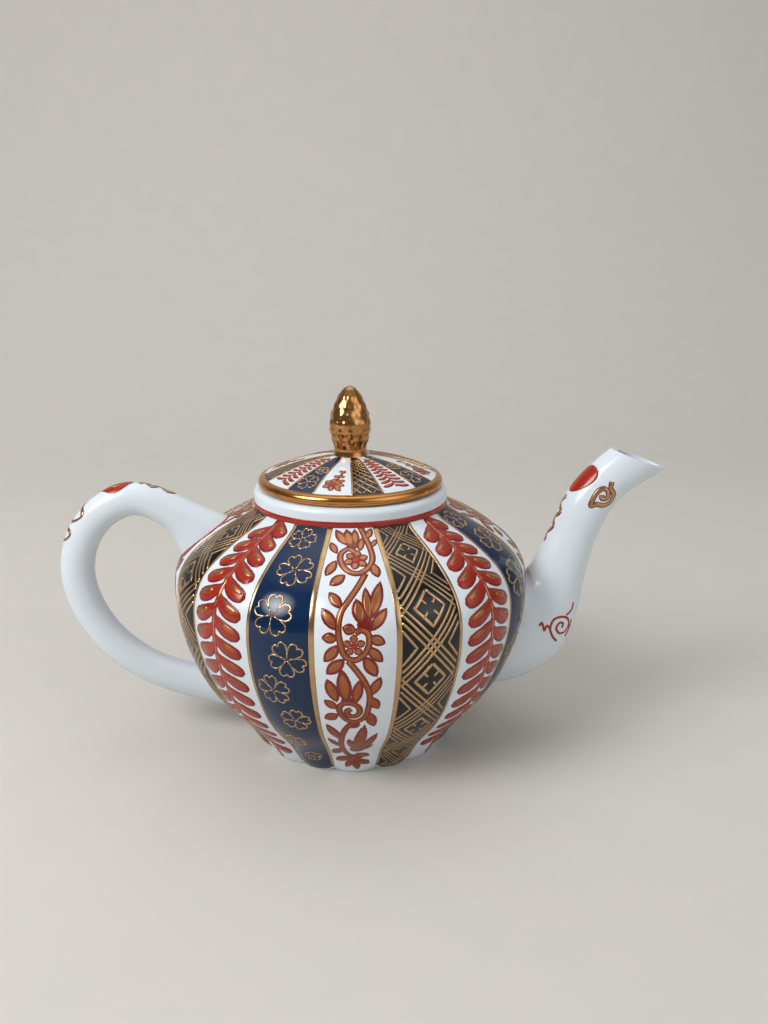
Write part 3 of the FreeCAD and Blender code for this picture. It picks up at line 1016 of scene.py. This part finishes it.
# Gilt bud: a pointed egg with a slight waist, by shares of its height and widest radius. Its soft bosses are
# in staggered rows; their height and spread are in millimetres.
BUD_PROFILE = [(-0.012, 0.86), (0.03, 0.82), (0.08, 0.79), (0.14, 0.81), (0.23, 0.88), (0.34, 0.96),
               (0.45, 0.98), (0.56, 0.92), (0.68, 0.80), (0.80, 0.63), (0.90, 0.44), (0.965, 0.26),
               (1.0, 0.0)]
BUD_SIDES = 88
BUD_PARTS = 7
BOSSES = 12
BOSS_ROWS = [0.23 + 0.125 * k for k in range(6)]
BOSS_HIGH = 0.24
BOSS_SPREAD = 0.56


def boss(share, angle, radius, tall):
    """How far the bud's skin stands out at a place, in millimetres."""
    out = 0.0
    for row, middle in enumerate(BOSS_ROWS):
        step = 2 * math.pi / BOSSES
        off = (angle + (row % 2) * step / 2) % step - step / 2
        far = (off * radius) ** 2 + ((share - middle) * tall) ** 2
        out += BOSS_HIGH * math.exp(-far / (2 * BOSS_SPREAD ** 2))
    return out


def gilt_bud():
    """The lid's knob, which stands for the CAD finial and fills the same place."""
    low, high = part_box("finial")
    tall, wide = (high[2] - low[2]) / MM, (high[0] - low[0]) / 2 / MM
    rows = smooth(BUD_PROFILE, BUD_PARTS)
    form = Paint()
    form.verts.append((0.0, 0.0, low[2] + rows[0][0] * tall * MM))
    for share, reach in rows[:-1]:
        for k in range(BUD_SIDES):
            a = 2 * math.pi * k / BUD_SIDES
            r = (reach * wide + boss(share, a, reach * wide, tall)) * MM
            form.verts.append((r * math.sin(a), -r * math.cos(a), low[2] + share * tall * MM))
    form.verts.append((0.0, 0.0, high[2]))
    last = len(form.verts) - 1
    for k in range(BUD_SIDES):
        j = (k + 1) % BUD_SIDES
        form.faces.append((0, 1 + j, 1 + k))
        for ring in range(len(rows) - 2):
            a = 1 + ring * BUD_SIDES
            form.faces.append((a + k, a + j, a + BUD_SIDES + j, a + BUD_SIDES + k))
        a = 1 + (len(rows) - 2) * BUD_SIDES
        form.faces.append((a + k, a + j, last))
    bud = put("gilt_bud", form.mesh("gilt_bud"))
    bud.data.materials.append(gilding("bud_gilding", BUD_GILT, BUD_WORN, BUD_GLOSS))
    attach(bud, "lid")
    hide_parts("finial")


gilt_bud()
coats = {"body": body_porcelain(), "lid": lid_porcelain(), "spout": PLAIN, "handle": PLAIN}
for node, material in coats.items():
    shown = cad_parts[node].data.materials
    shown.clear()
    shown.append(material)


# Camera at the photograph's place in millimetres, turned down and right by degrees, for a picture of 768 by
# 1024 pixels.
PICTURE_HIGH = 1024.0
FOCAL_PIXELS = 959.0
CAMERA_AT = (-3.86, -234.23, 127.83)
CAMERA_DOWN = 16.18
CAMERA_RIGHT = 3.0
camera = put("camera", bpy.data.cameras.new("camera"))
camera.data.lens = camera.data.sensor_width * FOCAL_PIXELS / PICTURE_HIGH
camera.data.clip_start = 0.01
camera.location = Vector(CAMERA_AT) * MM
pitch, yaw = math.radians(CAMERA_DOWN), math.radians(CAMERA_RIGHT)
look = Vector((math.sin(yaw) * math.cos(pitch), math.cos(yaw) * math.cos(pitch), -math.sin(pitch)))
camera.rotation_mode = "QUATERNION"
camera.rotation_quaternion = look.to_track_quat("-Z", "Y")
bpy.context.scene.camera = camera


# Background paper. Its fibres are far coarser than life, one in about 17 mm, so that they show.
PAPER = "#CFCBC4"
PAPER_FIBRE = "#C9C6C0"
FIBRES = 60.0


def studio_paper():
    """Matt background paper: pale and even, with faint fibres."""
    made, tree = new_material("pale_studio_paper")
    where = add(tree, COORDINATES).outputs["Object"]
    fibre = add(tree, NOISE, Vector=where, Scale=FIBRES, Detail=4.0)
    tone = mix(tree, fibre, PAPER, PAPER_FIBRE)
    return coat(made, tree, Base_Color=tone, Roughness=0.7)


# Pale floor that curves up into a backdrop all round, nearest and highest behind the pot, in metres, and the
# share of the way out that is flat.
STAGE_BACK = 0.7
STAGE_FRONT = 1.6
STAGE_SIDE = 1.8
SWEEP_HIGH = 0.4
WALL_HIGH = 1.2
WALL_SLANT = 0.4
FLOOR_SHARE = 0.43
SWEEP_PARTS = 14
STAGE_SIDES = 96


def stage_reach(angle):
    """Distance to the backdrop, whose plan is a rectangle with large round corners."""
    deep = STAGE_BACK if math.sin(angle) > 0 else STAGE_FRONT
    return ((math.cos(angle) / STAGE_SIDE) ** 4 + (math.sin(angle) / deep) ** 4) ** -0.25


def stage_mesh():
    """Flat floor, quarter-round sweep and upright wall, in rings round the pot."""
    curve = [math.radians(90 * k / SWEEP_PARTS) for k in range(SWEEP_PARTS + 1)]
    rings = [(FLOOR_SHARE + (1 - FLOOR_SHARE) * math.sin(a), SWEEP_HIGH * (1 - math.cos(a))) for a in curve]
    verts = [(0.0, 0.0, 0.0)]
    for k in range(STAGE_SIDES):
        a = 2 * math.pi * k / STAGE_SIDES
        x, y = stage_reach(a) * math.cos(a), stage_reach(a) * math.sin(a)
        verts += [(x * share, y * share, z) for share, z in rings]
        verts.append((x, y, WALL_HIGH + WALL_SLANT * math.sin(a)))
    size = len(rings) + 1
    faces = []
    for k in range(STAGE_SIDES):
        here, there = 1 + k * size, 1 + (k + 1) % STAGE_SIDES * size
        faces.append((0, here, there))
        faces += [(here + i, here + i + 1, there + i + 1, there + i) for i in range(size - 1)]
    made = bpy.data.meshes.new("studio_floor")
    made.from_pydata(verts, [], faces)
    made.polygons.foreach_set("use_smooth", [True] * len(made.polygons))
    made.materials.append(studio_paper())
    return made


floor = put("studio_floor", stage_mesh())

# Soft studio lamps: place and size in metres, power in watts. All aim at the middle of the pot. Each is three
# times as bright in its middle as on average, so that fading to its rim leaves its power as it is.
LAMPS = (
    ("window", (-0.55, -0.35, 0.55), 0.62, 5.4),
    ("fill", (0.7, -0.6, 0.5), 1.5, 3.0),
    ("top", (0.0, 0.25, 0.9), 1.5, 2.6),
)
LAMP_AIM = Vector((0, 0, 0.04))
LAMP_PEAK = 3.0
SKY = "#D6DADC"


def soften(lamp):
    """Lets a lamp fade from its middle to its rim, so that its reflection has no hard edge."""
    lamp.use_nodes = True
    tree = lamp.node_tree
    tree.nodes.clear()
    spot = add(tree, "ShaderNodeNewGeometry").outputs["Parametric"]
    off = calc(tree, "DISTANCE", spot, (0.5, 0.5, 0.0), kind=VECTOR).outputs["Value"]
    fade = add(tree, RANGE, Value=off, From_Max=0.5, To_Min=LAMP_PEAK, To_Max=0.0)
    glow = add(tree, "ShaderNodeEmission", Strength=fade)
    add(tree, "ShaderNodeOutputLight", Surface=glow)


for name, place, size, power in LAMPS:
    lamp = bpy.data.lights.new(name, "AREA")
    lamp.shape = "DISK"
    lamp.size = size
    lamp.energy = power
    soften(lamp)
    shine = put(name, lamp)
    shine.location = place
    shine.rotation_mode = "QUATERNION"
    shine.rotation_quaternion = (LAMP_AIM - Vector(place)).to_track_quat("-Z", "Y")

world = bpy.data.worlds.new("studio")
bpy.context.scene.world = world
world.use_nodes = True
world.node_tree.nodes.clear()
sky = add(world.node_tree, "ShaderNodeBackground", Color=linear(SKY), Strength=0.42)
add(world.node_tree, "ShaderNodeOutputWorld", Surface=sky)
bpy.context.scene.view_settings.view_transform = "Standard"
